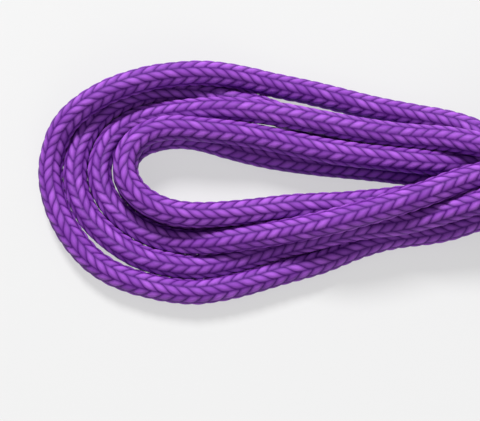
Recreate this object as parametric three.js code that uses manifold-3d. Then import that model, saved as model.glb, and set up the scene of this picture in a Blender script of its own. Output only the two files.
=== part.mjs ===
// A three metre rhythmic gymnastics rope, folded into a flat hank and held at its waist by a
// hook and loop tie. The hank lies along X on the plane z = 0, in millimetres, with +Z up.
// Its long loops reach towards -X. Its short loops and its two knotted ends reach towards +X.
import * as THREE from 'three';
import { ConvexGeometry } from 'three/addons/geometries/ConvexGeometry.js';
import { mergeVertices } from 'three/addons/utils/BufferGeometryUtils.js';
import Module from 'manifold-3d';

// Driving dimensions, in millimetres unless a name says otherwise.
const ropeDiameter = 9;
const clearance = 0.3;

// The long loops, with the open eye between their two sides.
const longTipX = -150;
const longBellyX = -95;
const longHalfWidth = 43.6;
const longNeckHalfWidth = 20;
const longShoulderX = -38;
const eyeTipX = -114;
const eyeBellyX = -102;
const eyeHalfWidth = 9.5;
const eyeCentreY = 3.4;
const eyeNeckX = -42;
const eyeNeckHalfWidth = 1.6;

// The short loops on the other side of the tie.
const shortTipX = 132;
const shortBellyX = 98;
const shortHalfWidth = 28.5;
const shortNeckHalfWidth = 20;
const shortShoulderX = 68;

// The waist, where ten runs of rope lie in rows inside the tie.
const runsInRows = [3, 4, 3];
const waistY = 2;
const tieX = 23;
const bandWidth = 20;
const bandThickness = 1.5;
const waistOverhang = 1;

// The overlapping end of the tie, which peels open.
const hookThickness = 1;
const tabReach = 24;
const tabCornerRadius = 5;
const patchReach = 16.5;
const patchSetBack = 1.2;
const patchMargin = 1;

// The two ends of the rope, each with an overhand knot, a whipping and a sealed tip.
const knotLength = 27;
const knotWidth = 24;
const knotHeight = 21;
const knotBesideLoops = 1.1;
const knotSetBack = 8;
const endLength = 12.5;
const tipLength = 3;
const whippingWidth = 7;
const whippingThickness = 0.6;
const whippingSetBack = 1.6;

const loopEdgeRadius = 4;
const facets = { curve: 10, bevel: 3, tube: 12, corner: 5, ball: 24, knotRings: 16 };

// Sizes that follow from the ones above.
const ropeRadius = ropeDiameter / 2;
const rowRise = ropeRadius * Math.sqrt(3);
const stackHeight = 2 * ropeDiameter;
const bundleZ = bandThickness + clearance;
const rowZ = runsInRows.map((runs, row) => bundleZ + ropeRadius + row * rowRise);
const bandInnerRadius = ropeRadius + clearance;
const bandOuterRadius = bandInnerRadius + bandThickness;
const hookZ = rowZ[2] + bandOuterRadius + clearance;
const tabZ = hookZ + hookThickness + clearance;
const tabTopZ = tabZ + bandThickness;
const tabRootY = waistY + ropeRadius * (runsInRows[2] - 1);
const waistLength = bandWidth + 2 * waistOverhang;
const waistStartX = tieX - waistLength / 2;
const waistEndX = tieX + waistLength / 2;
const knotX = shortTipX - knotSetBack;
const knotOffsetY = shortHalfWidth + knotBesideLoops;
const knotY = [waistY + knotOffsetY, waistY - knotOffsetY];
const tipX = knotX + knotLength / 2 + endLength;
const endRopeZ = ropeRadius + whippingThickness + clearance;

const wasm = await Module();
wasm.setup();

const rope = { color: 0x8c46b4, roughness: 0.5, metalness: 0 };
const webbing = { color: 0x3a3550, roughness: 0.85, metalness: 0 };
const hookTape = { color: 0x2e2b3c, roughness: 0.6, metalness: 0 };
const thread = { color: 0xe9e4ee, roughness: 0.6, metalness: 0 };
const melted = { color: 0x5b2a78, roughness: 0.3, metalness: 0 };

const hank = new THREE.Group();

function addPiece(name, geometry, finish) {
  const mesh = new THREE.Mesh(geometry, new THREE.MeshStandardMaterial(finish));
  mesh.name = name;
  hank.add(mesh);
  return mesh;
}

function toSolid(geometry) {
  const bare = geometry.clone();
  bare.deleteAttribute('normal');
  bare.deleteAttribute('uv');
  const merged = mergeVertices(bare, 1e-4);
  const vertProperties = new Float32Array(merged.attributes.position.array);
  const triVerts = new Uint32Array(merged.index.array);
  return new wasm.Manifold(new wasm.Mesh({ numProp: 3, vertProperties, triVerts }));
}

function toGeometry(solid) {
  const mesh = solid.getMesh();
  const geometry = new THREE.BufferGeometry();
  geometry.setAttribute('position', new THREE.BufferAttribute(mesh.vertProperties, 3));
  geometry.setIndex(new THREE.BufferAttribute(mesh.triVerts, 1));
  geometry.computeVertexNormals();
  return geometry;
}

function box(minX, maxX, minY, maxY, minZ, maxZ) {
  const geometry = new THREE.BoxGeometry(maxX - minX, maxY - minY, maxZ - minZ);
  geometry.translate((minX + maxX) / 2, (minY + maxY) / 2, (minZ + maxZ) / 2);
  return toSolid(geometry);
}

// Turns a shape drawn in Y and Z into a solid that runs along X.
function extrudeAlongX(shape, startX, length) {
  const geometry = new THREE.ExtrudeGeometry(shape, {
    depth: length,
    bevelEnabled: false,
    curveSegments: facets.curve,
  });
  const alongX = new THREE.Matrix4().makeBasis(
    new THREE.Vector3(0, 1, 0),
    new THREE.Vector3(0, 0, 1),
    new THREE.Vector3(1, 0, 0),
  );
  geometry.applyMatrix4(alongX);
  geometry.translate(startX, 0, 0);
  return geometry;
}

function extrudeStraightUp(shape, bottomZ, height) {
  const geometry = new THREE.ExtrudeGeometry(shape, {
    depth: height,
    bevelEnabled: false,
    curveSegments: facets.curve,
  });
  geometry.translate(0, 0, bottomZ);
  return geometry;
}

// Cuts a plan outline to a thickness, with rounded edges and a flat underside at z = 0.
function extrudeRounded(shape, thickness, edgeRadius) {
  const geometry = new THREE.ExtrudeGeometry(shape, {
    depth: thickness - 2 * edgeRadius,
    bevelThickness: edgeRadius,
    bevelSize: edgeRadius,
    bevelOffset: -edgeRadius,
    bevelSegments: facets.bevel,
    curveSegments: facets.curve,
  });
  geometry.translate(0, 0, edgeRadius);
  return geometry;
}

// A tube with flat ends along a smooth curve, with a step every two and a half diameters.
function tubeAlong(curve, radius) {
  const section = new THREE.Shape();
  for (let side = 0; side < facets.tube; side += 1) {
    const angle = (2 * Math.PI * side) / facets.tube;
    const point = [radius * Math.cos(angle), radius * Math.sin(angle)];
    if (side === 0) section.moveTo(...point);
    else section.lineTo(...point);
  }
  section.closePath();
  const steps = Math.max(2, Math.ceil(curve.getLength() / (2.5 * ropeDiameter)));
  return new THREE.ExtrudeGeometry(section, { steps, extrudePath: curve, bevelEnabled: false });
}

// The plan of a loop of the hank: two long flanks that widen from the neck, joined by half
// an ellipse at the far end.
function loopPlan(size) {
  const flank = (size.bellyX - size.neckX) / 2;
  const middleHalfWidth = (size.halfWidth + size.neckHalfWidth) / 2;
  const outline = new THREE.Shape();
  outline.moveTo(size.neckX, size.neckY - size.neckHalfWidth);
  outline.bezierCurveTo(
    size.neckX + flank, size.centreY - middleHalfWidth,
    size.bellyX - flank / 2, size.centreY - size.halfWidth,
    size.bellyX, size.centreY - size.halfWidth,
  );
  outline.absellipse(
    size.bellyX, size.centreY, Math.abs(size.tipX - size.bellyX), size.halfWidth,
    -Math.PI / 2, Math.PI / 2, size.tipX < size.bellyX, 0,
  );
  outline.bezierCurveTo(
    size.bellyX - flank / 2, size.centreY + size.halfWidth,
    size.neckX + flank, size.centreY + middleHalfWidth,
    size.neckX, size.neckY + size.neckHalfWidth,
  );
  outline.closePath();
  return outline;
}

// The outline round the three rows of runs in the waist, grown by a radius about the outer
// runs' centres.
function waistOutline(radius) {
  const corners = [];
  const halfWidths = runsInRows.map((runs) => ropeRadius * (runs - 1));
  halfWidths.forEach((halfWidth, row) => corners.push([waistY + halfWidth, rowZ[row]]));
  corners.push(...corners.map(([y, z]) => [2 * waistY - y, z]).reverse());
  const outline = new THREE.Shape();
  corners.forEach(([y, z], index) => {
    const [lastY, lastZ] = corners.at(index - 1);
    const [nextY, nextZ] = corners[(index + 1) % corners.length];
    const inward = Math.atan2(lastY - y, z - lastZ);
    const outward = Math.atan2(y - nextY, nextZ - z);
    outline.absarc(y, z, radius, inward, outward, false);
  });
  outline.closePath();
  return outline;
}

// A loop of the hank as one closed solid: the flat stack of runs, and a shoulder that
// gathers them up to the waist.
function loopSolid(size, shoulderX) {
  const plan = loopPlan(size);
  const stack = toSolid(extrudeRounded(plan, stackHeight, loopEdgeRadius));
  const corners = [];
  waistOutline(ropeRadius).getPoints(facets.corner).forEach(({ x, y }) => {
    corners.push(new THREE.Vector3(size.neckX, x, y));
  });
  [-1, 1].forEach((side) => {
    const edgeY = size.centreY + side * size.halfWidth;
    corners.push(new THREE.Vector3(shoulderX, edgeY, loopEdgeRadius));
    corners.push(new THREE.Vector3(shoulderX, edgeY, stackHeight - loopEdgeRadius));
    corners.push(new THREE.Vector3(shoulderX, edgeY - side * loopEdgeRadius, 0));
    corners.push(new THREE.Vector3(shoulderX, edgeY - side * loopEdgeRadius, stackHeight));
  });
  const tallPlan = toSolid(extrudeStraightUp(plan, 0, rowZ[2] + ropeDiameter));
  const shoulder = toSolid(new ConvexGeometry(corners)).intersect(tallPlan);
  return stack.add(shoulder);
}

// The routes of the two ends of the rope, from the waist to their knots. Each leaves its own
// place in the bundle, passes beside the short loops, and lies on the ground.
const tailStartX = waistEndX + clearance;
const tailEndX = knotX - knotLength / 2 - clearance;
const tailRoutes = [
  [
    [tailStartX, waistY + 3 * ropeRadius, rowZ[1]],
    [tailStartX + 4, waistY + 3 * ropeRadius, rowZ[1]],
    [48, 19, 13],
    [60, 26, 9],
    [72, 32, 5.4],
    [86, 35, 4.6],
    [99, 34.4, 5],
    [107, 32, 8],
    [tailEndX, knotY[0], 8.8],
  ],
  [
    [tailStartX, waistY - 2 * ropeRadius, rowZ[0]],
    [tailStartX + 4, waistY - 2 * ropeRadius, rowZ[0]],
    [48, -13, 4.8],
    [60, -22, 4.6],
    [72, -28.6, 4.6],
    [86, -31.4, 4.6],
    [99, -30.6, 5],
    [107, -28, 8],
    [tailEndX, knotY[1], 8.8],
  ],
].map((route) => route.map((point) => new THREE.Vector3(...point)));

function routeCurve(route) {
  return new THREE.CatmullRomCurve3(route, false, 'centripetal');
}

const longLoops = {
  neckX: waistStartX - clearance,
  bellyX: longBellyX,
  tipX: longTipX,
  halfWidth: longHalfWidth,
  neckHalfWidth: longNeckHalfWidth,
  centreY: 0,
  neckY: waistY,
};
const eye = {
  neckX: eyeNeckX,
  bellyX: eyeBellyX,
  tipX: eyeTipX,
  halfWidth: eyeHalfWidth,
  neckHalfWidth: eyeNeckHalfWidth,
  centreY: eyeCentreY,
  neckY: 0,
};
const shortLoops = {
  neckX: waistEndX + clearance,
  bellyX: shortBellyX,
  tipX: shortTipX,
  halfWidth: shortHalfWidth,
  neckHalfWidth: shortNeckHalfWidth,
  centreY: waistY,
  neckY: waistY,
};

function knotGeometry(grow) {
  const geometry = new THREE.SphereGeometry(0.5, facets.ball, facets.knotRings);
  geometry.scale(knotLength + 2 * grow, knotWidth + 2 * grow, knotHeight + 2 * grow);
  return geometry;
}

// The rope: its long loops, the ten runs in the waist, and its short loops with a groove
// where each end of the rope lies against them, and a hollow where its knot does.
const eyeHole = toSolid(extrudeStraightUp(loopPlan(eye), -clearance, 2 * stackHeight));
const longSolid = loopSolid(longLoops, longShoulderX).subtract(eyeHole);
addPiece('long_loops', toGeometry(longSolid), rope);
addPiece('waist_runs', extrudeAlongX(waistOutline(ropeRadius), waistStartX, waistLength), rope);
const shortSolid = tailRoutes.reduce((solid, route, index) => {
  const groove = tubeAlong(routeCurve(route), ropeRadius + clearance);
  const hollow = knotGeometry(clearance).translate(knotX, knotY[index], knotHeight / 2);
  return solid.subtract(toSolid(groove)).subtract(toSolid(hollow));
}, loopSolid(shortLoops, shortShoulderX));
addPiece('short_loops', toGeometry(shortSolid), rope);

// Each end of the rope, from the waist outwards.
['a', 'b'].forEach((end, index) => {
  addPiece(`tail_${end}`, tubeAlong(routeCurve(tailRoutes[index]), ropeRadius), rope);

  const knot = addPiece(`knot_${end}`, knotGeometry(0), rope);
  knot.position.set(knotX, knotY[index], knotHeight / 2);

  const stubStartX = knotX + knotLength / 2 + clearance;
  const stubEndX = tipX - tipLength - clearance;
  const stubLength = stubEndX - stubStartX;
  const stub = new THREE.CylinderGeometry(ropeRadius, ropeRadius, stubLength, facets.ball);
  stub.rotateZ(Math.PI / 2);
  const stubMesh = addPiece(`end_stub_${end}`, stub, rope);
  stubMesh.position.set((stubStartX + stubEndX) / 2, knotY[index], endRopeZ);

  const ring = new THREE.Shape();
  ring.absarc(knotY[index], endRopeZ, endRopeZ, 0, 2 * Math.PI, false);
  const bore = new THREE.Path();
  bore.absarc(knotY[index], endRopeZ, ropeRadius + clearance, 0, 2 * Math.PI, true);
  ring.holes.push(bore);
  const whippingX = stubEndX - whippingSetBack - whippingWidth;
  addPiece(`whipping_${end}`, extrudeAlongX(ring, whippingX, whippingWidth), thread);

  const dome = [new THREE.Vector2(0, 0)];
  for (let step = 0; step <= facets.corner; step += 1) {
    const angle = (step / facets.corner) * (Math.PI / 2);
    dome.push(new THREE.Vector2(ropeRadius * Math.cos(angle), tipLength * Math.sin(angle)));
  }
  dome[dome.length - 1].x = 0;
  const tip = new THREE.LatheGeometry(dome, facets.ball);
  tip.rotateZ(-Math.PI / 2);
  const tipMesh = addPiece(`sealed_tip_${end}`, tip, melted);
  tipMesh.position.set(tipX - tipLength, knotY[index], endRopeZ);
});

// The tie: a band right round the waist, whose overlap stands on it as a root for the tab.
const bandX = tieX - bandWidth / 2;
const bandShape = waistOutline(bandOuterRadius);
bandShape.holes.push(waistOutline(bandInnerRadius));
const band = toSolid(extrudeAlongX(bandShape, bandX, bandWidth));
const overlapShape = waistOutline(tabTopZ - rowZ[2]);
overlapShape.holes.push(waistOutline(bandOuterRadius - clearance));
const overlapSector = box(
  bandX, bandX + bandWidth, tabRootY, tabRootY + tabReach, rowZ[1], tabTopZ + clearance,
);
const overlap = toSolid(extrudeAlongX(overlapShape, bandX, bandWidth)).intersect(overlapSector);
addPiece('tie_band', toGeometry(band.add(overlap)), webbing);

// The plan of a piece of tape that starts at the tab's root and ends in two round corners.
function tapePlan(startY, reach, width, radius) {
  const plan = new THREE.Shape();
  const endY = startY - reach;
  plan.moveTo(tieX + width / 2, startY);
  plan.lineTo(tieX - width / 2, startY);
  plan.absarc(tieX - width / 2 + radius, endY + radius, radius, Math.PI, 1.5 * Math.PI, false);
  plan.absarc(tieX + width / 2 - radius, endY + radius, radius, 1.5 * Math.PI, 2 * Math.PI, false);
  plan.closePath();
  return plan;
}

const tabPlan = tapePlan(tabRootY - clearance, tabReach, bandWidth, tabCornerRadius);
addPiece('tie_pull_tab', extrudeStraightUp(tabPlan, tabZ, bandThickness), webbing);
const patchWidth = bandWidth - 2 * patchMargin;
const patchPlan = tapePlan(tabRootY - patchSetBack, patchReach, patchWidth, patchMargin);
addPiece('tie_hook_patch', extrudeStraightUp(patchPlan, hookZ, hookThickness), hookTape);

export default hank;
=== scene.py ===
import math

import bpy
import numpy as np
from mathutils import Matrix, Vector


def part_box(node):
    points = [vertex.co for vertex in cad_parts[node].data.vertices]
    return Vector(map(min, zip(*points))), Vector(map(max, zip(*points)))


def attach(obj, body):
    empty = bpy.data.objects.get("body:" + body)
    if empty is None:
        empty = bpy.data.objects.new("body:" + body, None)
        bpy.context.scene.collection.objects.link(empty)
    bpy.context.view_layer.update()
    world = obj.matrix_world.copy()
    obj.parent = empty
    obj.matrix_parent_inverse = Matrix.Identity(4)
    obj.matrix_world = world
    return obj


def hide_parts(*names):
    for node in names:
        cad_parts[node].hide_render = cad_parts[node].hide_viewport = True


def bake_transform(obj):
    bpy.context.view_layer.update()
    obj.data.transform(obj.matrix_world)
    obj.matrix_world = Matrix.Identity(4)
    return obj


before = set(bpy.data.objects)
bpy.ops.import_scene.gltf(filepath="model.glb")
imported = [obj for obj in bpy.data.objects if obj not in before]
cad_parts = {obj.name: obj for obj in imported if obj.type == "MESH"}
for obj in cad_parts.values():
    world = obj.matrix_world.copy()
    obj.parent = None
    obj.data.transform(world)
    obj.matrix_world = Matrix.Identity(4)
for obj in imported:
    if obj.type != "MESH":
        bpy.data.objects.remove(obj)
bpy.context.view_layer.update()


# ---- Table, lights and camera --------------------------------------------------------------
# The hank lies on a plain pale light table, which glows a little, so its shadow is a soft one.
# The main light stands beyond it to the left. The camera looks down on the long loops.
WHITE = (1.0, 1.0, 1.0, 1.0)
TABLE_SIZE = 6.0
TABLE_COLOUR = (0.25, 0.25, 0.25, 1.0)
TABLE_ROUGHNESS = 0.9
TABLE_SHINE = 0.1
TABLE_GLOW = 0.54
ROOM_LIGHT = 0.42
HANK_MIDDLE = (0.0, 0.0, 0.0)

# Each light's place, width and power.
LIGHTS = {
    "window_light": ((-0.45, 1.45, 1.55), 0.60, 62.0),
    "fill_light": ((0.40, -1.50, 1.10), 1.20, 5.0),
}

VIEW_CENTRE = (-0.0776, -0.0098, 0.0080)
VIEW_ELEVATION = math.radians(80)
VIEW_WIDTH = 0.1728
LENS = 100.0
SENSOR = 36.0
NEAREST_SEEN = 0.01


def deselect_all():
    if bpy.context.object and bpy.context.object.mode != "OBJECT":
        bpy.ops.object.mode_set(mode="OBJECT")
    bpy.ops.object.select_all(action="DESELECT")


def aim(thing, target):
    """Turns a light or camera so that it looks at a point."""
    away = [thing.location[axis] - target[axis] for axis in range(3)]
    level = math.hypot(away[0], away[1])
    thing.rotation_euler = (math.atan2(level, away[2]), 0.0, math.atan2(away[0], -away[1]))


deselect_all()
bpy.ops.mesh.primitive_plane_add(size=TABLE_SIZE)
table = bpy.context.object
table.name = "table_top"
table_finish = bpy.data.materials.new("pale_table")
table_finish.use_nodes = True
table_shader = table_finish.node_tree.nodes["Principled BSDF"]
table_shader.inputs["Base Color"].default_value = TABLE_COLOUR
table_shader.inputs["Roughness"].default_value = TABLE_ROUGHNESS
table_shader.inputs["Specular IOR Level"].default_value = TABLE_SHINE
table_shader.inputs["Emission Color"].default_value = WHITE
table_shader.inputs["Emission Strength"].default_value = TABLE_GLOW
table.data.materials.append(table_finish)

for name, (place, width, power) in LIGHTS.items():
    deselect_all()
    bpy.ops.object.light_add(type="AREA", location=place)
    light = bpy.context.object
    light.name = name
    light.data.shape = "DISK"
    light.data.size = width
    light.data.energy = power
    aim(light, HANK_MIDDLE)

studio = bpy.data.worlds.new("studio")
studio.use_nodes = True
studio.node_tree.nodes["Background"].inputs["Color"].default_value = WHITE
studio.node_tree.nodes["Background"].inputs["Strength"].default_value = ROOM_LIGHT
bpy.context.scene.world = studio
bpy.context.scene.view_settings.view_transform = "Standard"

view_distance = VIEW_WIDTH * LENS / SENSOR
deselect_all()
bpy.ops.object.camera_add(location=(
    VIEW_CENTRE[0],
    VIEW_CENTRE[1] - view_distance * math.cos(VIEW_ELEVATION),
    VIEW_CENTRE[2] + view_distance * math.sin(VIEW_ELEVATION),
))
camera = bpy.context.object
camera.data.lens = LENS
camera.data.sensor_width = SENSOR
camera.data.clip_start = NEAREST_SEEN
aim(camera, VIEW_CENTRE)
bpy.context.scene.camera = camera


# ---- Rope: its route through the hank ------------------------------------------------------
# Three metres of limp 9 mm rope, wound in five long loops and four short ones that pass
# through the tie, with an overhand knot near each end. The long loops lie as they fell.
ROPE_DIAMETER = 0.009
ROPE_RADIUS = ROPE_DIAMETER / 2
ROUTE_STEP = ROPE_DIAMETER / 2

waist_low, waist_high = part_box("waist_runs")
WAIST_X = (waist_low[0] + waist_high[0]) / 2
HELD_HALF_LENGTH = 0.006
WAIST_Y = (waist_low[1] + waist_high[1]) / 2
ROW_RISE = ROPE_RADIUS * math.sqrt(3)
ROW_Z = [waist_low[2] + ROPE_RADIUS + row * ROW_RISE for row in range(3)]

# Each loop's two runs in the waist: their distance from its middle in rope radii, and row.
OUTWARD_RUNS = [(2, 2), (2, 0), (3, 1), (1, 1), (0, 0)]
RETURN_RUNS = [(0, 2), (-2, 2), (-3, 1), (-1, 1), (-2, 0)]

# The five long loops in the order that the rope runs through them. The third is the outermost
# and the last the innermost, and each is given from the waist round its tip and back.
LONG_LOOPS = [
    [
        (0.0060, 0.0118, 0.0215), (-0.0050, 0.0138, 0.0190), (-0.0200, 0.0162, 0.0150),
        (-0.0490, 0.0215, 0.0128),
        (-0.0705, 0.0260, 0.0126), (-0.0990, 0.0275, 0.0126), (-0.1140, 0.0250, 0.0120),
        (-0.1247, 0.0185, 0.0090), (-0.1289, 0.0088, 0.0055), (-0.1273, -0.0022, 0.0045),
        (-0.1190, -0.0122, 0.0045), (-0.1053, -0.0199, 0.0055), (-0.0900, -0.0222, 0.0080),
        (-0.0760, -0.0205, 0.0120), (-0.0615, -0.0174, 0.0165), (-0.0470, -0.0148, 0.0200),
        (-0.0325, -0.0118, 0.0212), (-0.0180, -0.0078, 0.0215), (-0.0040, -0.0034, 0.0215),
    ],
    [
        (-0.0050, 0.0130, 0.0053), (-0.0200, 0.0160, 0.0045), (-0.0415, 0.0185, 0.0045),
        (-0.0595, 0.0245, 0.0045), (-0.0775, 0.0320, 0.0045), (-0.0990, 0.0340, 0.0045),
        (-0.1210, 0.0310, 0.0045), (-0.1342, 0.0212, 0.0045), (-0.1378, 0.0075, 0.0045),
        (-0.1348, -0.0066, 0.0045), (-0.1252, -0.0179, 0.0045), (-0.1106, -0.0262, 0.0045),
        (-0.0965, -0.0298, 0.0045), (-0.0825, -0.0290, 0.0045), (-0.0680, -0.0246, 0.0050),
        (-0.0535, -0.0200, 0.0070), (-0.0390, -0.0155, 0.0105), (-0.0200, -0.0115, 0.0160),
    ],
    [
        (0.0085, 0.0210, 0.0142), (-0.0060, 0.0246, 0.0140), (-0.0200, 0.0270, 0.0135),
        (-0.0380, 0.0312, 0.0150), (-0.0500, 0.0347, 0.0135), (-0.0640, 0.0372, 0.0125),
        (-0.0775, 0.0386, 0.0120), (-0.0920, 0.0393, 0.0120), (-0.1065, 0.0387, 0.0125),
        (-0.1215, 0.0345, 0.0125), (-0.1345, 0.0272, 0.0090), (-0.1427, 0.0170, 0.0055),
        (-0.1467, 0.0065, 0.0045), (-0.1448, -0.0053, 0.0045), (-0.1396, -0.0167, 0.0045),
        (-0.1300, -0.0285, 0.0045), (-0.1160, -0.0352, 0.0045), (-0.1010, -0.0371, 0.0045),
        (-0.0865, -0.0362, 0.0045), (-0.0720, -0.0332, 0.0045), (-0.0580, -0.0288, 0.0045),
        (-0.0435, -0.0243, 0.0045), (-0.0290, -0.0196, 0.0062), (-0.0145, -0.0160, 0.0095),
        (0.0, -0.0155, 0.0120),
    ],
    [
        (-0.0345, 0.0090, 0.0130), (-0.0560, 0.0126, 0.0125), (-0.0775, 0.0175, 0.0125),
        (-0.0990, 0.0200, 0.0125), (-0.1106, 0.0175, 0.0128), (-0.1180, 0.0105, 0.0133),
        (-0.1180, 0.0010, 0.0133), (-0.1111, -0.0070, 0.0128), (-0.0990, -0.0118, 0.0125),
        (-0.0775, -0.0116, 0.0122), (-0.0560, -0.0104, 0.0120), (-0.0415, -0.0104, 0.0120),
        (-0.0270, -0.0098, 0.0120), (-0.0130, -0.0074, 0.0125),
    ],
    [
        (-0.0345, 0.0070, 0.0050), (-0.0560, 0.0095, 0.0045), (-0.0775, 0.0135, 0.0045),
        (-0.0920, 0.0175, 0.0045), (-0.1090, 0.0180, 0.0045), (-0.1185, 0.0095, 0.0045),
        (-0.1180, 0.0005, 0.0045), (-0.1100, -0.0085, 0.0045), (-0.0955, -0.0135, 0.0045),
        (-0.0810, -0.0140, 0.0045), (-0.0670, -0.0138, 0.0045), (-0.0525, -0.0132, 0.0045),
        (-0.0380, -0.0114, 0.0045), (-0.0230, -0.0090, 0.0052),
    ],
]

# The four short loops: half width, tip, and height above the table.
SHORT_LOOPS = [
    (0.0240, 0.1205, 0.0045),
    (0.0212, 0.1240, 0.0123),
    (0.0122, 0.1150, 0.0123),
    (0.0150, 0.1115, 0.0045),
]
SHORT_FLANK_X = 0.053
NEAR_FLANK_WIDTH = 0.72
FAR_FLANK_WIDTH = 0.97
SHORT_BEND_STEP = 30

# The two ends, from the waist to their knots.
TAILS = [
    [
        (0.0343, 0.0155, 0.0141), (0.0383, 0.0155, 0.0141), (0.0480, 0.0190, 0.0130),
        (0.0600, 0.0260, 0.0090), (0.0720, 0.0320, 0.0054), (0.0860, 0.0350, 0.0046),
        (0.0990, 0.0344, 0.0050), (0.1070, 0.0320, 0.0080),
    ],
    [
        (0.0343, -0.0070, 0.0063), (0.0383, -0.0070, 0.0063), (0.0480, -0.0130, 0.0048),
        (0.0600, -0.0220, 0.0046), (0.0720, -0.0286, 0.0046), (0.0860, -0.0314, 0.0046),
        (0.0990, -0.0306, 0.0050), (0.1070, -0.0280, 0.0080),
    ],
]
KNOT_SCALE = (0.00095, 0.0044, 0.0036)
KNOT_POINTS = 27
KNOT_REACH = 1.95
POINTS_PER_STRETCH = 16


def waist_run(place, heading):
    """One straight run through the tie, towards -X where heading is -1."""
    radii_from_middle, row = place
    y = WAIST_Y + radii_from_middle * ROPE_RADIUS
    return [(WAIST_X + heading * HELD_HALF_LENGTH * along, y, ROW_Z[row]) for along in (-1, 0, 1)]


def short_loop(size, left_run, entered_run):
    """A loop on the knots' side of the tie: two flanks and a half circle."""
    half_width, tip_x, z = size
    belly_x = tip_x - half_width
    middle_x = (SHORT_FLANK_X + belly_x) / 2 + ROPE_RADIUS

    def flank(side, place):
        waist_y = place[0] * ROPE_RADIUS
        waist_z = ROW_Z[place[1]]
        near_y = WAIST_Y + side * NEAR_FLANK_WIDTH * half_width + 0.2 * waist_y
        far_y = WAIST_Y + side * FAR_FLANK_WIDTH * half_width
        return [
            (SHORT_FLANK_X, near_y, (z + waist_z) / 2),
            (middle_x, far_y, 0.9 * z + 0.1 * waist_z),
        ]

    bend = []
    for degrees in range(-90, 91, SHORT_BEND_STEP):
        angle = math.radians(degrees)
        bend.append((
            belly_x + half_width * math.cos(angle),
            WAIST_Y + half_width * math.sin(angle),
            z,
        ))
    return flank(-1, left_run) + bend + flank(1, entered_run)[::-1]


def overhand_knot(node, side):
    """An overhand knot's centre line about the middle of its node, along X."""
    low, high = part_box(node)
    centre = [(low[axis] + high[axis]) / 2 for axis in range(3)]
    points = []
    for index in range(KNOT_POINTS):
        t = KNOT_REACH * (2 * index / (KNOT_POINTS - 1) - 1)
        points.append((
            centre[0] + KNOT_SCALE[0] * (t ** 5 - 10 * t),
            centre[1] + side * KNOT_SCALE[1] * (t ** 3 - 3 * t),
            centre[2] + KNOT_SCALE[2] * (t ** 4 - 4 * t ** 2 + 2),
        ))
    return points


def end_stub(node):
    low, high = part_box(node)
    y = (low[1] + high[1]) / 2
    z = (low[2] + high[2]) / 2
    return [(low[0] + (high[0] - low[0]) * part, y, z) for part in (0.0, 0.5, 1.0)]


def arc_lengths(points):
    steps = np.linalg.norm(np.diff(points, axis=0), axis=1)
    return np.concatenate([[0.0], np.cumsum(steps)])


def resample(points, step):
    along = arc_lengths(points)
    even = np.linspace(0, along[-1], int(round(along[-1] / step)) + 1)
    return np.stack([np.interp(even, along, points[:, axis]) for axis in range(3)], axis=1)


def smooth_route(points, step):
    """A smooth curve through the points, as points an even step apart."""
    points = np.array(points, float)
    padded = np.vstack([2 * points[0] - points[1], points, 2 * points[-1] - points[-2]])
    stretches = []
    for first in range(len(points) - 1):
        p0, p1, p2, p3 = padded[first:first + 4]
        t1 = np.linalg.norm(p1 - p0) ** 0.5
        t2 = t1 + np.linalg.norm(p2 - p1) ** 0.5
        t3 = t2 + np.linalg.norm(p3 - p2) ** 0.5
        t = np.linspace(t1, t2, POINTS_PER_STRETCH, endpoint=False)[:, None]
        a1 = (t1 - t) / t1 * p0 + t / t1 * p1
        a2 = (t2 - t) / (t2 - t1) * p1 + (t - t1) / (t2 - t1) * p2
        a3 = (t3 - t) / (t3 - t2) * p2 + (t - t2) / (t3 - t2) * p3
        b1 = (t2 - t) / t2 * a1 + t / t2 * a2
        b2 = (t3 - t) / (t3 - t1) * a2 + (t - t1) / (t3 - t1) * a3
        stretches.append((t2 - t) / (t2 - t1) * b1 + (t - t1) / (t2 - t1) * b2)
    return resample(np.vstack(stretches + [points[-1:]]), step)


ends = [
    tail + overhand_knot(f"knot_{end}", side) + end_stub(f"end_stub_{end}")
    for tail, end, side in zip(TAILS, "ab", (1, -1))
]
route_points = ends[0][::-1]
for turn, loop in enumerate(LONG_LOOPS):
    route_points += waist_run(OUTWARD_RUNS[turn], -1) + loop + waist_run(RETURN_RUNS[turn], 1)
    if turn < len(SHORT_LOOPS):
        route_points += short_loop(SHORT_LOOPS[turn], RETURN_RUNS[turn], OUTWARD_RUNS[turn + 1])
route_points += ends[1]
route = smooth_route(route_points, ROUTE_STEP)


# ---- Rope: how it settles ------------------------------------------------------------------
# The rope keeps its length, resists bending, lies on the table and on itself a diameter
# apart, and is held where the tie and the sealed ends hold it.
SETTLE_STEPS = 400
SINK = 0.00003
LONG_LOOP_PULL = 0.03
SHORT_LOOP_PULL = 0.012
BEND_STIFFNESS = 0.35
CONTACT_SWEEPS = 3
CONTACT_REFRESH = 10
FIRST_CONTACT = 3
CONTACT_REACH = 1.35 * ROPE_DIAMETER
CLOSE_BEND = 0.9
SHARED_PUSH = 0.6
STUB_MARGIN = 0.0003
TIE_HALF_WIDTH = 0.0102
TIE_GIVE = 0.0002
SPLAY = 0.9
TIE_SLOPE = math.radians(30)


def squeezed(points):
    """Keeps the runs inside the tie, and lets them splay out evenly on both sides of it."""
    slope_y, slope_z = math.cos(TIE_SLOPE), math.sin(TIE_SLOPE)
    past_tie = np.abs(points[:, 0] - WAIST_X) - TIE_HALF_WIDTH
    give = TIE_GIVE + SPLAY * np.maximum(past_tie, 0)
    across = points[:, 1] - WAIST_Y
    up = np.clip(points[:, 2] - ROW_Z[1], -ROW_RISE - give, ROW_RISE + give)
    limit = 3 * ROPE_RADIUS * slope_y + give
    beyond = np.maximum(np.abs(across) * slope_y + np.abs(up) * slope_z - limit, 0)
    across -= np.sign(across) * beyond * slope_y
    up -= np.sign(up) * beyond * slope_z
    return np.column_stack([points[:, 0], across + WAIST_Y, up + ROW_Z[1]])


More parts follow.
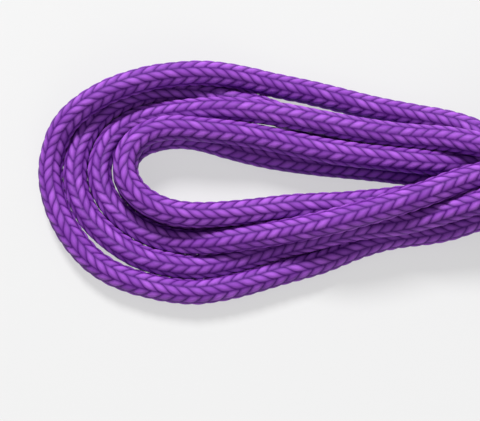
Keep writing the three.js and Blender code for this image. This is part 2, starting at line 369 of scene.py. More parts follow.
def settle(route):
    """Lets the route sink, bend and push itself apart until it lies still."""
    count = len(route)
    points = route.copy()
    step = arc_lengths(route)[-1] / (count - 1)
    stub_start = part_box("end_stub_a")[0][0]
    in_waist = np.abs(route[:, 0] - WAIST_X) < HELD_HALF_LENGTH
    held = in_waist | (route[:, 0] > stub_start - STUB_MARGIN)
    free = np.where(held, 0.0, 1.0)[:, None]
    pull = np.where(route[:, 0] > WAIST_X, SHORT_LOOP_PULL, LONG_LOOP_PULL)[:, None]
    firsts, seconds = np.triu_indices(count, FIRST_CONTACT)

    for tick in range(SETTLE_STEPS):
        points[:, 2] -= SINK
        points[:, :2] += pull * (route[:, :2] - points[:, :2])
        sag = np.zeros_like(points)
        sag[1:-1] = (points[:-2] + points[2:]) / 2 - points[1:-1]
        stiff = np.zeros_like(points)
        stiff[1:-1] = sag[1:-1] - (sag[:-2] + sag[2:]) / 2
        points += BEND_STIFFNESS * stiff * free
        if tick % CONTACT_REFRESH == 0:
            apart = points[firsts] - points[seconds]
            near = np.einsum("ij,ij->i", apart, apart) < CONTACT_REACH ** 2
            one, other = firsts[near], seconds[near]
            clear = np.minimum(ROPE_DIAMETER, (other - one) * step * CLOSE_BEND)
        for _ in range(CONTACT_SWEEPS):
            apart = points[one] - points[other]
            distance = np.linalg.norm(apart, axis=1)
            overlap = clear - distance
            hit = overlap > 0
            push = apart[hit] * (overlap[hit] / 2 / np.maximum(distance[hit], 1e-6))[:, None]
            moves = np.zeros_like(points)
            touches = np.zeros(count)
            np.add.at(moves, one[hit], push)
            np.add.at(moves, other[hit], -push)
            np.add.at(touches, one[hit], 1)
            np.add.at(touches, other[hit], 1)
            points += free * moves / np.maximum(1, SHARED_PUSH * touches)[:, None]
            for parity in (0, 1):
                start = np.arange(parity, count - 1, 2)
                link = points[start + 1] - points[start]
                length = np.linalg.norm(link, axis=1)[:, None]
                stretch = (length - step) / length * link
                share = np.maximum(free[start] + free[start + 1], 1.0)
                points[start] += stretch * free[start] / share
                points[start + 1] -= stretch * free[start + 1] / share
            points = squeezed(points)
            points[:, 2] = np.maximum(points[:, 2], ROPE_RADIUS)
            points[held] = route[held]
    return points


centre_line = settle(route)


# ---- Rope: its braided cover ---------------------------------------------------------------
# Sixteen yarns plaited two over two round a core. They show as eight columns of slanted
# stitches, half a row apart from column to column. The cover is glossy synthetic yarn.
COLUMNS = 8
SIDES_PER_COLUMN = 4
SIDES = COLUMNS * SIDES_PER_COLUMN
ROW_LENGTH = ROPE_DIAMETER / 2
RINGS_PER_ROW = 4
SLANT = 0.82
CROWN_RADIUS = 0.00474
VALLEY_RADIUS = 0.0042
CROWN_FULLNESS = 0.72
UNEVENNESS = 0.3
STITCH_SEED = 7
END_RINGS = 12
FINE_STEP = ROPE_DIAMETER / 16
PRESSED_FLAT = 0.00001
UNROLLED_STRIPS = 10
UV_MARGIN = 0.004


def turning_frames(points):
    """Tangents and two normals that follow the curve without twisting."""
    tangents = np.gradient(points, axis=0)
    tangents /= np.linalg.norm(tangents, axis=1)[:, None]
    normal = np.cross(tangents[0], (0.0, 1.0, 0.0))
    normal /= np.linalg.norm(normal)
    normals = [normal]
    for index in range(1, len(points)):
        normal = normal - tangents[index] * np.dot(normal, tangents[index])
        normal = normal / np.linalg.norm(normal)
        normals.append(normal)
    normals = np.array(normals)
    return tangents, normals, np.cross(tangents, normals)


def at(values, along, where):
    """Values of a curve read off at other lengths along it."""
    return np.stack([np.interp(where, along, values[:, axis]) for axis in range(3)], axis=-1)


def braided_rope(name, centre_line):
    """Rings of vertices along the rope, that rise to a crown in each stitch of each column."""
    fine = smooth_route(centre_line, FINE_STEP)
    along = arc_lengths(fine)
    _, normals, binormals = turning_frames(fine)
    rings = int(along[-1] / ROW_LENGTH) * RINGS_PER_ROW
    ring, side = np.meshgrid(np.arange(rings + 1), np.arange(SIDES), indexing="ij")
    column = side // SIDES_PER_COLUMN
    across = (side % SIDES_PER_COLUMN) / SIDES_PER_COLUMN
    zigzag = np.abs((side / SIDES_PER_COLUMN) % 2 - 1) - 0.5
    square_end = np.clip(np.minimum(ring, rings - ring) / END_RINGS, 0, 1)
    where = along[-1] * ring / rings + ROW_LENGTH * SLANT * zigzag * square_end
    phase = ((ring + column % 2 * RINGS_PER_ROW // 2) % RINGS_PER_ROW) / RINGS_PER_ROW
    row = (ring + column % 2 * RINGS_PER_ROW // 2) // RINGS_PER_ROW
    stitches = np.random.default_rng(STITCH_SEED).random((row.max() + 1, COLUMNS))
    crown = (np.sin(np.pi * across) * np.sin(np.pi * phase)) ** CROWN_FULLNESS
    crown *= 1 - UNEVENNESS * stitches[row, column]
    radius = VALLEY_RADIUS + (CROWN_RADIUS - VALLEY_RADIUS) * crown
    angle = 2 * np.pi * side / SIDES
    outward = (at(normals, along, where) * np.cos(angle)[..., None]
               + at(binormals, along, where) * np.sin(angle)[..., None])
    surface = at(fine, along, where) + outward * radius[..., None]
    surface[..., 2] = np.maximum(surface[..., 2], PRESSED_FLAT)
    vertices = surface.reshape(-1, 3)

    quad_ring, quad_side = np.meshgrid(np.arange(rings), np.arange(SIDES), indexing="ij")
    quad_ring = quad_ring.ravel()
    quad_side = quad_side.ravel()
    next_side = (quad_side + 1) % SIDES
    quads = np.stack([
        quad_ring * SIDES + quad_side,
        quad_ring * SIDES + next_side,
        (quad_ring + 1) * SIDES + next_side,
        (quad_ring + 1) * SIDES + quad_side,
    ], axis=1)
    first_end = list(range(SIDES - 1, -1, -1))
    last_end = [rings * SIDES + side for side in range(SIDES)]
    mesh = bpy.data.meshes.new(name)
    mesh.from_pydata(vertices.tolist(), [], quads.tolist() + [first_end, last_end])
    mesh.validate()
    rope = bpy.data.objects.new(name, mesh)
    bpy.context.collection.objects.link(rope)

    # The crown also sets where the cover's colour carries painted shade, in the valleys between the
    # stitches.
    mesh.attributes.new("crown", "FLOAT", "POINT").data.foreach_set("value", crown.ravel())
    yarn = ring / RINGS_PER_ROW
    mesh.attributes.new("yarn", "FLOAT", "POINT").data.foreach_set("value", yarn.ravel())
    tint = np.concatenate([stitches[row, column][:-1].ravel(), [0.5, 0.5]])
    mesh.attributes.new("stitch_tint", "FLOAT", "FACE").data.foreach_set("value", tint)

    rings_per_strip = math.ceil(rings / UNROLLED_STRIPS)
    corner_ring = np.stack([quad_ring, quad_ring, quad_ring + 1, quad_ring + 1], axis=1)
    corner_side = np.stack([quad_side, quad_side + 1, quad_side + 1, quad_side], axis=1)
    strip = (quad_ring // rings_per_strip)[:, None]
    u = (corner_ring - strip * rings_per_strip) / rings_per_strip
    v = (strip + UV_MARGIN + (1 - 2 * UV_MARGIN) * corner_side / SIDES) / UNROLLED_STRIPS
    unrolled = np.stack([u * (1 - 2 * UV_MARGIN) + UV_MARGIN, v], axis=-1).reshape(-1, 2)
    ends_uv = np.full((2 * SIDES, 2), UV_MARGIN / 2)
    layer = mesh.uv_layers.new(name="OFBake")
    layer.data.foreach_set("uv", np.vstack([unrolled, ends_uv]).ravel())
    return rope


class Value:
    """A shader socket in plain arithmetic: each operator adds its Math node."""

    def __init__(self, finish, socket):
        self.finish = finish
        self.socket = socket

    def maths(self, operation, first, second):
        return self.finish.add("ShaderNodeMath", {"operation": operation}, {0: first, 1: second})

    def __add__(self, other):
        return self.maths("ADD", self, other)

    def __mul__(self, other):
        return self.maths("MULTIPLY", self, other)

    def __sub__(self, other):
        return self.maths("SUBTRACT", self, other)

    def __rsub__(self, other):
        return self.maths("SUBTRACT", other, self)

    def __pow__(self, other):
        return self.maths("POWER", self, other)

    def __gt__(self, other):
        return self.maths("GREATER_THAN", self, other)

    def size(self):
        return self.finish.add("ShaderNodeMath", {"operation": "ABSOLUTE"}, {0: self})

    def wave(self):
        """A sine of the value, moved up so that it runs from 0 to 1."""
        return self.finish.add("ShaderNodeMath", {"operation": "SINE"}, {0: self}) * 0.5 + 0.5


class Finish:
    """A material: constants are set on its shader, and add() makes every other node."""

    def __init__(self, name, **constants):
        self.material = bpy.data.materials.new(name)
        self.material.use_nodes = True
        self.tree = self.material.node_tree
        self.shader = self.tree.nodes["Principled BSDF"]
        for socket, value in constants.items():
            self.shader.inputs[socket.replace("_", " ")].default_value = value

    def add(self, kind, settings=None, sockets=None, output=0):
        node = self.tree.nodes.new(kind)
        for setting, value in (settings or {}).items():
            setattr(node, setting, value)
        for socket, value in (sockets or {}).items():
            if isinstance(value, Value):
                self.tree.links.new(value.socket, node.inputs[socket])
            else:
                node.inputs[socket].default_value = value
        return Value(self, node.outputs[output])

    def attribute(self, name):
        return self.add("ShaderNodeAttribute", {"attribute_name": name}, output="Fac")

    def place(self):
        return self.add("ShaderNodeTexCoord", output="Object")

    def axes(self):
        """The place along X, Y and Z, each as a number."""
        sockets = {"Vector": self.place()}
        return [self.add("ShaderNodeSeparateXYZ", {}, sockets, output=axis) for axis in range(3)]

    def noise(self, scale, detail=3.0, roughness=0.5):
        sockets = {"Vector": self.place(), "Scale": scale, "Detail": detail,
                   "Roughness": roughness}
        return self.add("ShaderNodeTexNoise", {}, sockets)

    def mix(self, factor, first, second):
        return self.add("ShaderNodeMix", {"data_type": "RGBA"}, {0: factor, 6: first, 7: second},
                        output=2)

    def bump(self, height, distance, strength=1.0):
        sockets = {"Height": height, "Distance": distance, "Strength": strength}
        return self.add("ShaderNodeBump", {}, sockets)

    def connect(self, **sockets):
        for socket, value in sockets.items():
            self.tree.links.new(value.socket, self.shader.inputs[socket.replace("_", " ")])
        return self

    def put_on(self, piece):
        piece.data.materials.clear()
        piece.data.materials.append(self.material)


YARN_LIGHT = (0.430, 0.122, 0.690, 1.0)
YARN_DEEP = (0.250, 0.055, 0.460, 1.0)
# Painted shade: the dark colour that the valleys between the stitches are painted with.
YARN_PAINTED_VALLEY_SHADE = (0.070, 0.007, 0.160, 1.0)
FILAMENTS_PER_ROW = 9
FILAMENT_HEIGHT = 0.00012
FADING = 60.0
FUZZ = 900.0
ROPE_SMOOTHING = math.radians(38)


def rope_finish():
    finish = Finish("purple_braided_yarn", Roughness=0.42, Specular_IOR_Level=0.1)
    crown = finish.attribute("crown")
    tint = finish.attribute("stitch_tint")
    wear = finish.noise(FADING)
    body = finish.mix(tint * 0.55 + wear * 0.35, YARN_LIGHT, YARN_DEEP)
    # Painted shade: the yarn's colour darkens towards the valleys between the stitches, where the
    # crown is low.
    body_with_painted_shade = finish.mix(crown ** 0.8, YARN_PAINTED_VALLEY_SHADE, body)
    filament = (finish.attribute("yarn") * (2 * math.pi * FILAMENTS_PER_ROW)).wave()
    height = filament * 0.6 + finish.noise(FUZZ, 2.0) * 0.4
    return finish.connect(
        Base_Color=body_with_painted_shade,
        Normal=finish.bump(height, FILAMENT_HEIGHT, 0.7),
    )


rope = braided_rope("gymnastics_rope", centre_line)
rope_finish().put_on(rope)
deselect_all()
rope.select_set(True)
bpy.context.view_layer.objects.active = rope
bpy.ops.object.shade_smooth_by_angle(angle=ROPE_SMOOTHING)
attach(rope, "hank")
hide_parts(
    "long_loops", "waist_runs", "short_loops",
    "tail_a", "knot_a", "end_stub_a", "tail_b", "knot_b", "end_stub_b",
)


# ---- Ends: thread whippings ----------------------------------------------------------------
# A few close turns of waxed thread bind each end of the rope, so that its braid can't open.
# The thread is twisted from fine plies and pulled tight into the rope.
THREAD_RADIUS = 0.00042
THREAD_TURNS = 8
THREAD_SIDES = 8
STEPS_PER_TURN = 28
THREAD_LIGHT = (0.83, 0.79, 0.86, 1.0)
THREAD_DARK = (0.60, 0.54, 0.66, 1.0)
PLY_TWIST = 5200.0
PLY_HEIGHT = 0.0001
WAX_PATCHES = 700.0
MERGE_DISTANCE = 0.000001


def merge_and_face_outwards():
    """Merges doubled vertices of the active piece and turns its faces outwards."""
    bpy.ops.object.mode_set(mode="EDIT")
    bpy.ops.mesh.select_all(action="SELECT")
    bpy.ops.mesh.remove_doubles(threshold=MERGE_DISTANCE)
    bpy.ops.mesh.normals_make_consistent(inside=False)
    bpy.ops.object.mode_set(mode="OBJECT")


def finish_piece(piece, name, node, body="hank", smooth=40):
    """Puts a shaped piece at the origin, smooths it, gives it its name and body, and hides the part
    it replaces.
    """
    deselect_all()
    piece.select_set(True)
    bpy.context.view_layer.objects.active = piece
    bpy.ops.object.transform_apply(location=True, rotation=True, scale=True)
    merge_and_face_outwards()
    bpy.ops.object.shade_smooth_by_angle(angle=math.radians(smooth))
    piece.name = name
    if body:
        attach(piece, body)
    if node:
        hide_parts(node)


def apply_modifier(piece, kind, **settings):
    """Adds a modifier to a piece and makes its result the piece's own mesh."""
    modifier = piece.modifiers.new(kind.lower(), kind)
    for setting, value in settings.items():
        setattr(modifier, setting, value)
    deselect_all()
    piece.select_set(True)
    bpy.context.view_layer.objects.active = piece
    bpy.ops.object.modifier_apply(modifier=modifier.name)


def thread_finish():
    finish = Finish("waxed_binding_thread", Roughness=0.48, Sheen_Weight=0.1)
    x, y, z = finish.axes()
    twist = ((x + y + z) * PLY_TWIST).wave()
    colour = finish.mix(twist * 0.5 + finish.noise(WAX_PATCHES) * 0.5, THREAD_LIGHT, THREAD_DARK)
    return finish.connect(Base_Color=colour, Normal=finish.bump(twist, PLY_HEIGHT, 0.8))


def whipping(end, finish):
    """A round thread wound in a helix over the rope's end."""
    low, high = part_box(f"whipping_{end}")
    centre_y = (low[1] + high[1]) / 2
    centre_z = (low[2] + high[2]) / 2
    reach = (high[2] - low[2]) / 2 - THREAD_RADIUS
    pitch = (high[0] - low[0] - 2 * THREAD_RADIUS) / THREAD_TURNS
    deselect_all()
    bpy.ops.mesh.primitive_circle_add(
        vertices=THREAD_SIDES, radius=THREAD_RADIUS,
        location=(low[0] + THREAD_RADIUS, centre_y, centre_z), rotation=(math.pi / 2, 0.0, 0.0),
    )
    thread = bpy.context.object
    bpy.ops.object.transform_apply(location=False, rotation=True, scale=True)
    bpy.ops.object.mode_set(mode="EDIT")
    bpy.ops.mesh.select_all(action="SELECT")
    bpy.ops.transform.translate(value=(0.0, 0.0, reach))
    bpy.ops.object.mode_set(mode="OBJECT")
    apply_modifier(
        thread, "SCREW", axis="X", angle=2 * math.pi, screw_offset=pitch,
        iterations=THREAD_TURNS, steps=STEPS_PER_TURN, render_steps=STEPS_PER_TURN,
    )
    bpy.ops.object.mode_set(mode="EDIT")
    bpy.ops.mesh.select_all(action="SELECT")
    bpy.ops.mesh.fill_holes(sides=THREAD_SIDES)
    bpy.ops.object.mode_set(mode="OBJECT")
    finish_piece(thread, f"thread_whipping_{end}", f"whipping_{end}")
    finish.put_on(thread)


binding_thread = thread_finish()
for end in "ab":
    whipping(end, binding_thread)


# ---- Ends: sealed tips ---------------------------------------------------------------------
# Each end of the rope is cut hot. Its yarns melt into one hard, glossy and uneven button that
# keeps the core and the cover together.
MELT_SIDES = 24
MELT_BEVEL = 0.0015
MELT_UNEVENNESS = 0.00022
MELT_LUMPS = 420.0
MELT_RELIEF = 0.0004
CHAR_PATCHES = 160.0
MELTED_DARK = (0.060, 0.012, 0.115, 1.0)
MELTED_LIGHT = (0.150, 0.035, 0.270, 1.0)
CHARRED = (0.030, 0.012, 0.030, 1.0)


def melted_finish():
    finish = Finish("melted_yarn", Coat_Roughness=0.2)
    lumps = finish.noise(MELT_LUMPS, 4.0)
    char = finish.noise(CHAR_PATCHES, 2.0) ** 3.0
    colour = finish.mix(lumps, MELTED_DARK, MELTED_LIGHT)
    return finish.connect(
        Base_Color=finish.mix(char, colour, CHARRED),
        Roughness=lumps * 0.35 + 0.12,
        Coat_Weight=1 - lumps,
        Normal=finish.bump(lumps, MELT_RELIEF, 0.6),
    )


def sealed_tip(end, finish):
    """A short round button, softened and then dented a little."""
    low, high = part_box(f"sealed_tip_{end}")
    depth = high[0] - low[0]
    deselect_all()
    bpy.ops.mesh.primitive_cylinder_add(
        vertices=MELT_SIDES, radius=(high[2] - low[2]) / 2, depth=depth,
        location=[(low[axis] + high[axis]) / 2 for axis in range(3)],
        rotation=(0.0, math.pi / 2, 0.0),
    )
    tip = bpy.context.object
    bpy.ops.object.transform_apply(location=True, rotation=True, scale=True)
    bpy.ops.object.mode_set(mode="EDIT")
    bpy.ops.mesh.select_all(action="SELECT")
    bpy.ops.mesh.bevel(offset=MELT_BEVEL, segments=4, affect="EDGES")
    bpy.ops.object.mode_set(mode="OBJECT")
    apply_modifier(tip, "SUBSURF", levels=2, render_levels=2)
    for vertex in tip.data.vertices:
        x, y, z = vertex.co
        lump = math.sin(1900 * y + 1) * math.sin(1700 * z) + math.sin(2600 * (y - z) + 900 * x)
        vertex.co.x -= MELT_UNEVENNESS * (1 + lump) * (x - low[0]) / depth
    finish_piece(tip, f"melted_tip_{end}", f"sealed_tip_{end}", smooth=60)
    finish.put_on(tip)


melted_yarn = melted_finish()
for end in "ab":
    sealed_tip(end, melted_yarn)


# ---- Tie: the inner turn -------------------------------------------------------------------
# A 20 mm strap of soft loop tape goes once round the ten runs of rope. Its face is a brushed
# pile that the hooks catch in, between two flat woven edges.
band_low, band_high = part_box("tie_band")
TAPE_WIDTH = band_high[0] - band_low[0]
TAPE_THICKNESS = 0.0015
TAPE_COLUMNS = 16
TURN_STEP = math.radians(7.5)
EDGE_ROUNDING = 0.0005
FIRST_STRETCH = 0.001
SIXTH = math.radians(60)
LAP_START = math.radians(20.15)
HALF_RUNS_IN_ROWS = [2 * ROPE_RADIUS, 3 * ROPE_RADIUS, 2 * ROPE_RADIUS]
INNER_RADIUS = ROW_Z[0] - band_low[2] - TAPE_THICKNESS / 2
PILE_DARK = (0.022, 0.018, 0.045, 1.0)
PILE_LIGHT = (0.070, 0.060, 0.120, 1.0)
PILE_HEIGHT = 0.0005
PILE_LOOPS = 2600.0
PILE_TUFTS = 900.0
SELVEDGE_WIDTH = 0.0013
WARP_PITCH = 0.00055
PICK_PITCH = 0.0009


def row_corner(side, row):
    """The middle of the outermost run of a row, which the tape bends round."""
    return (WAIST_Y + side * HALF_RUNS_IN_ROWS[row], ROW_Z[row])


def tape(start, heading, first_length, moves, width=TAPE_WIDTH):
    """A flat tape in the YZ plane: its first stretch, then turns and straight stretches."""
    direction = (math.cos(heading), math.sin(heading))
    middle = (
        WAIST_X,
        start[0] + direction[0] * first_length / 2,
        start[1] + direction[1] * first_length / 2,
    )
    deselect_all()
    bpy.ops.mesh.primitive_grid_add(
        x_subdivisions=TAPE_COLUMNS, y_subdivisions=1, size=1.0,
        location=middle, rotation=(heading, 0.0, 0.0),
    )
    strip = bpy.context.object
    strip.scale = (width, first_length, 1.0)
    bpy.ops.object.transform_apply(location=True, rotation=True, scale=True)
    for vertex in strip.data.vertices:
        ahead = (vertex.co.y - middle[1]) * direction[0] + (vertex.co.z - middle[2]) * direction[1]
        vertex.select = ahead > 0
    for edge in strip.data.edges:
        edge.select = all(strip.data.vertices[index].select for index in edge.vertices)
    for face in strip.data.polygons:
        face.select = False
    bpy.ops.object.mode_set(mode="EDIT")
    bpy.ops.mesh.select_mode(type="EDGE")
    for move in moves:
        if move[0] == "turn":
            _, centre, angle = move
            bpy.ops.mesh.spin(
                steps=max(1, round(angle / TURN_STEP)), angle=angle,
                center=(WAIST_X, centre[0], centre[1]), axis=(-1.0, 0.0, 0.0),
            )
            heading += angle
        else:
            _, length, narrowing = move
            bpy.ops.mesh.extrude_region_move(TRANSFORM_OT_translate={"value": (
                0.0, length * math.cos(heading), length * math.sin(heading),
            )})
            if narrowing != 1:
                bpy.ops.transform.resize(
                    value=(narrowing, 1.0, 1.0), center_override=(WAIST_X, 0.0, 0.0),
                )
    merge_and_face_outwards()
    apply_modifier(strip, "SOLIDIFY", thickness=TAPE_THICKNESS, offset=0.0,
                   use_even_offset=True)
    apply_modifier(strip, "BEVEL", width=EDGE_ROUNDING, segments=2, limit_method="ANGLE",
                   angle_limit=math.radians(60))
    return strip


def tape_finish():
    finish = Finish("brushed_loop_tape", Roughness=0.88, Specular_IOR_Level=0.3,
                    Sheen_Weight=0.35, Sheen_Roughness=0.5, Sheen_Tint=(0.65, 0.6, 0.85, 1.0))
    x, y, z = finish.axes()
    from_middle = (x - WAIST_X).size()
    selvedge = from_middle > TAPE_WIDTH / 2 - SELVEDGE_WIDTH
    warp = (x * (2 * math.pi / WARP_PITCH)).wave()
    picks = ((y + z) * (2 * math.pi / PICK_PITCH)).wave()
    loops = finish.noise(PILE_LOOPS, 4.0, 0.75)
    tufts = finish.noise(PILE_TUFTS)
    pile = finish.mix(loops * 0.6 + tufts * 0.4, PILE_DARK, PILE_LIGHT)
    woven = finish.mix(warp * 0.5 + picks * 0.5, PILE_DARK, PILE_LIGHT)
    pile_height = loops * 0.75 + tufts * 0.5
    woven_height = warp * picks * 0.6
    height = pile_height + (woven_height - pile_height) * selvedge
    return finish.connect(
        Base_Color=finish.mix(selvedge * 0.8, pile, woven),
        Normal=finish.bump(height, PILE_HEIGHT, 0.9),
    )


loop_tape = tape_finish()
tuck = row_corner(1, 1)
inner_turn = tape(
    (tuck[0] + INNER_RADIUS, tuck[1] - FIRST_STRETCH), math.pi / 2, FIRST_STRETCH,
    [
        ("turn", tuck, SIXTH / 2), ("go", ROPE_DIAMETER, 1),
        ("turn", row_corner(1, 2), SIXTH), ("go", 2 * ROPE_DIAMETER, 1),
        ("turn", row_corner(-1, 2), SIXTH), ("go", ROPE_DIAMETER, 1),
        ("turn", row_corner(-1, 1), SIXTH), ("go", ROPE_DIAMETER, 1),
        ("turn", row_corner(-1, 0), SIXTH), ("go", 2 * ROPE_DIAMETER, 1),
        ("turn", row_corner(1, 0), SIXTH - LAP_START),
    ],
)
finish_piece(inner_turn, "tie_inner_turn", "tie_band")
loop_tape.put_on(inner_turn)


# ---- Tie: the outer turn and its pull tab --------------------------------------------------
# The strap goes on over its own start and ends in a free tab with round corners, which is
# gripped to peel the tie open. Where it leaves the overlap it runs on straight, in short rows.
tab_low, tab_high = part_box("tie_pull_tab")
OUTER_RADIUS = tab_high[2] - TAPE_THICKNESS / 2 - ROW_Z[2]
LIFT_ANGLE = math.acos((INNER_RADIUS - OUTER_RADIUS) / ROPE_DIAMETER) - SIXTH
LIFT_LENGTH = math.sqrt(ROPE_DIAMETER ** 2 - (OUTER_RADIUS - INNER_RADIUS) ** 2)
CORNER_RADIUS = 0.005
CORNER_STEPS = [1.0, 0.72, 0.46, 0.24, 0.08, 0.0]
BEND_END_Y = 0.0072
BEND_ROWS = 12
FLAT_ROWS = 3

lift_corner = row_corner(1, 0)
lift_start = (
    lift_corner[0] + INNER_RADIUS * math.cos(-LIFT_ANGLE),
    lift_corner[1] + INNER_RADIUS * math.sin(-LIFT_ANGLE),
)
top_corner = row_corner(1, 2)
bend_length = top_corner[0] - BEND_END_Y
flat_length = BEND_END_Y - (tab_low[1] + CORNER_RADIUS)
moves = [
    ("turn", row_corner(1, 1), LIFT_ANGLE + SIXTH / 2), ("go", ROPE_DIAMETER, 1),
    ("turn", top_corner, SIXTH),
]
moves += [("go", bend_length / BEND_ROWS, 1)] * BEND_ROWS
moves += [("go", flat_length / FLAT_ROWS, 1)] * FLAT_ROWS
half_width = TAPE_WIDTH / 2
for nearer, further in zip(CORNER_STEPS, CORNER_STEPS[1:]):
    now_half = TAPE_WIDTH / 2 - CORNER_RADIUS * (1 - math.sqrt(1 - (1 - further) ** 2))
    moves.append(("go", CORNER_RADIUS * (nearer - further), now_half / half_width))
    half_width = now_half
outer_turn = tape(lift_start, math.pi / 2 - LIFT_ANGLE, LIFT_LENGTH, moves)
finish_piece(outer_turn, "tie_outer_turn_and_tab", "tie_pull_tab", body=None)
loop_tape.put_on(outer_turn)
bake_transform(outer_turn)


# ---- Tie: the hook tape --------------------------------------------------------------------
# Moulded nylon hooks, sewn under the tab, catch in the pile of the inner turn. A strip of the
# same tape holds the strap's first turn to its second.
patch_low, patch_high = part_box("tie_hook_patch")
HOOK_PITCH = 0.00115
HOOK_THICKNESS = 0.00026
HOOK_HEIGHT = 0.00072
HOOK_BASE = 0.0005
HOOK_TAPER = 0.6
HOOK_ROOT = 0.0001
LAST_HOOK_INSET = 0.0004
BASE_ROUNDING = 0.00018

# The hook's side view, step by step: sideways and down, as parts of its height.
HOOK_STEPS = [(0.0, 0.45), (0.10, 0.30), (0.30, 0.17), (0.30, -0.05), (0.10, -0.20)]
HOOK_DARK = (0.014, 0.012, 0.022, 1.0)
HOOK_LIGHT = (0.040, 0.034, 0.062, 1.0)
MOULD_GRAIN = 1200.0
MOULD_GRAIN_HEIGHT = 0.00012
MOULD_CLOUDS = 150.0


def hook_finish():
    finish = Finish("moulded_hook_tape", Roughness=0.45, Specular_IOR_Level=0.45)
    grain = finish.noise(MOULD_GRAIN)
    colour = finish.mix(grain * 0.7 + finish.noise(MOULD_CLOUDS) * 0.3, HOOK_DARK, HOOK_LIGHT)
    return finish.connect(
        Base_Color=colour,
        Roughness=grain * 0.3 + 0.32,
        Normal=finish.bump(grain, MOULD_GRAIN_HEIGHT, 0.5),
    )


def one_hook(place):
    """A square stem that hangs down, leans over and ends in a short crook."""
    deselect_all()
    bpy.ops.mesh.primitive_plane_add(size=HOOK_THICKNESS, location=place)
    hook = bpy.context.object
    bpy.ops.object.mode_set(mode="EDIT")
    bpy.ops.mesh.select_all(action="SELECT")
    for side, down in HOOK_STEPS:
        bpy.ops.mesh.extrude_region_move(TRANSFORM_OT_translate={"value": (
            0.0, HOOK_HEIGHT * side, -HOOK_HEIGHT * down,
        )})
    bpy.ops.transform.resize(value=(HOOK_TAPER, HOOK_TAPER, 1.0))
    bpy.ops.object.mode_set(mode="OBJECT")
    return hook


moulded_hooks = hook_finish()
hooks_low_y = patch_low[1] + HOOK_PITCH
hooks_high_y = BEND_END_Y - LAST_HOOK_INSET
hook_rows = int((hooks_high_y - hooks_low_y) / HOOK_PITCH) + 1
hook_columns = int((patch_high[0] - patch_low[0] - HOOK_PITCH) / HOOK_PITCH) + 1
hooks_width = (hook_columns - 1) * HOOK_PITCH
hooks = one_hook((WAIST_X - hooks_width / 2, hooks_low_y, patch_high[2] - HOOK_ROOT))
apply_modifier(hooks, "ARRAY", count=hook_columns, use_relative_offset=False,
               use_constant_offset=True, constant_offset_displace=(HOOK_PITCH, 0.0, 0.0))
apply_modifier(hooks, "ARRAY", count=hook_rows, use_relative_offset=False,
               use_constant_offset=True, constant_offset_displace=(0.0, HOOK_PITCH, 0.0))

deselect_all()
patch_width = patch_high[0] - patch_low[0]
bpy.ops.mesh.primitive_cube_add(size=1.0, location=(
    WAIST_X, (patch_low[1] + BEND_END_Y) / 2, tab_low[2] - HOOK_BASE / 2,
))
hook_patch = bpy.context.object
hook_patch.scale = (patch_width, BEND_END_Y - patch_low[1], HOOK_BASE)
bpy.ops.object.transform_apply(location=True, rotation=True, scale=True)
apply_modifier(hook_patch, "BEVEL", width=BASE_ROUNDING, segments=2)
deselect_all()
hooks.select_set(True)
hook_patch.select_set(True)
bpy.context.view_layer.objects.active = hook_patch
bpy.ops.object.join()
finish_piece(hook_patch, "tie_hook_patch_and_hooks", "tie_hook_patch", "pull_tab")
moulded_hooks.put_on(hook_patch)

STRIP_RADIUS = (INNER_RADIUS + OUTER_RADIUS) / 2
STRIP_LIFT = math.radians(32)
STRIP_END = math.radians(54)
lean_y, lean_z = math.cos(STRIP_LIFT), math.sin(STRIP_LIFT)
hook_strip = tape(
    (
        tuck[0] + STRIP_RADIUS * lean_y - FIRST_STRETCH * lean_z,
        tuck[1] - STRIP_RADIUS * lean_z - FIRST_STRETCH * lean_y,
    ),
    math.pi / 2 - STRIP_LIFT, FIRST_STRETCH,
    [
        ("turn", tuck, STRIP_LIFT + SIXTH / 2), ("go", ROPE_DIAMETER, 1),
        ("turn", top_corner, STRIP_END),
    ],
    width=patch_width,
)
finish_piece(hook_strip, "tie_hook_strip", None)
moulded_hooks.put_on(hook_strip)


# ---- Tie: stitching ------------------------------------------------------------------------
# A lock stitch of strong thread runs round the hook patch and shows on top of the tab. Two
# more rows across the strap hold its two turns together at the side.
STITCH_LENGTH = 0.0022
STITCH_PITCH = 0.0028
STITCH_WIDTH = 0.00048
STITCH_HEIGHT = 0.00036
STITCH_INSET = 0.0013
BACK_SEAM_INSET = 0.0006
SEWING_DARK = (0.055, 0.045, 0.100, 1.0)
SEWING_LIGHT = (0.160, 0.140, 0.240, 1.0)
SEWING_TWIST_HEIGHT = 0.00006
SEWING_PATCHES = 500.0


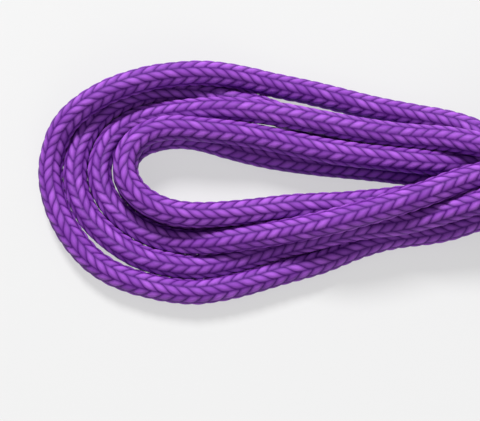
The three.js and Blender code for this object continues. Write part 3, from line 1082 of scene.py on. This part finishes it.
def stitch_row(name, first, last, tilt=0.0, body="pull_tab"):
    """A row of stitches from one point to another, each pulled a little into the tape."""
    span = math.dist(first, last)
    count = int((span - STITCH_LENGTH) / STITCH_PITCH) + 1
    step = [(last[axis] - first[axis]) / span * STITCH_PITCH for axis in range(3)]
    spare = (span - (count - 1) * STITCH_PITCH) / 2 / span
    place = [first[axis] + (last[axis] - first[axis]) * spare for axis in range(3)]
    deselect_all()
    bpy.ops.mesh.primitive_uv_sphere_add(segments=10, ring_count=8, radius=0.5, location=place)
    stitch = bpy.context.object
    along_x = abs(step[0]) > abs(step[1])
    stitch.scale = (
        STITCH_LENGTH if along_x else STITCH_WIDTH,
        STITCH_WIDTH if along_x else STITCH_LENGTH,
        STITCH_HEIGHT,
    )
    stitch.rotation_euler = (tilt, 0.0, 0.0)
    bpy.ops.object.transform_apply(location=True, rotation=True, scale=True)
    apply_modifier(stitch, "ARRAY", count=count, use_relative_offset=False,
                   use_constant_offset=True, constant_offset_displace=step)
    finish_piece(stitch, name, None, body, smooth=60)
    return stitch


def sewing_finish():
    finish = Finish("sewing_thread", Roughness=0.5, Sheen_Weight=0.15)
    x, y, z = finish.axes()
    twist = ((x + y) * PLY_TWIST).wave()
    colour = finish.mix(twist * 0.6 + finish.noise(SEWING_PATCHES) * 0.4, SEWING_DARK, SEWING_LIGHT)
    return finish.connect(Base_Color=colour, Normal=finish.bump(twist, SEWING_TWIST_HEIGHT, 0.7))


sewing_thread = sewing_finish()
left = patch_low[0] + STITCH_INSET
right = patch_high[0] - STITCH_INSET
front = patch_low[1] + STITCH_INSET
back = BEND_END_Y - BACK_SEAM_INSET
top = tab_high[2]
seams = {
    "tab_stitches_left": ((left, front, top), (left, back, top)),
    "tab_stitches_right": ((right, front, top), (right, back, top)),
    "tab_stitches_front": ((left, front, top), (right, front, top)),
    "tab_stitches_back": ((left, back, top), (right, back, top)),
}
for name, (first, last) in seams.items():
    sewing_thread.put_on(stitch_row(name, first, last))

outside = OUTER_RADIUS + TAPE_THICKNESS / 2
for name, share in (("side_stitches_low", 0.2), ("side_stitches_high", 0.8)):
    y = tuck[0] + (top_corner[0] - tuck[0]) * share + outside * math.cos(SIXTH / 2)
    z = tuck[1] + (top_corner[1] - tuck[1]) * share + outside * math.sin(SIXTH / 2)
    seam = stitch_row(name, (left, y, z), (right, y, z), SIXTH / 2 - math.pi / 2, "hank")
    sewing_thread.put_on(seam)
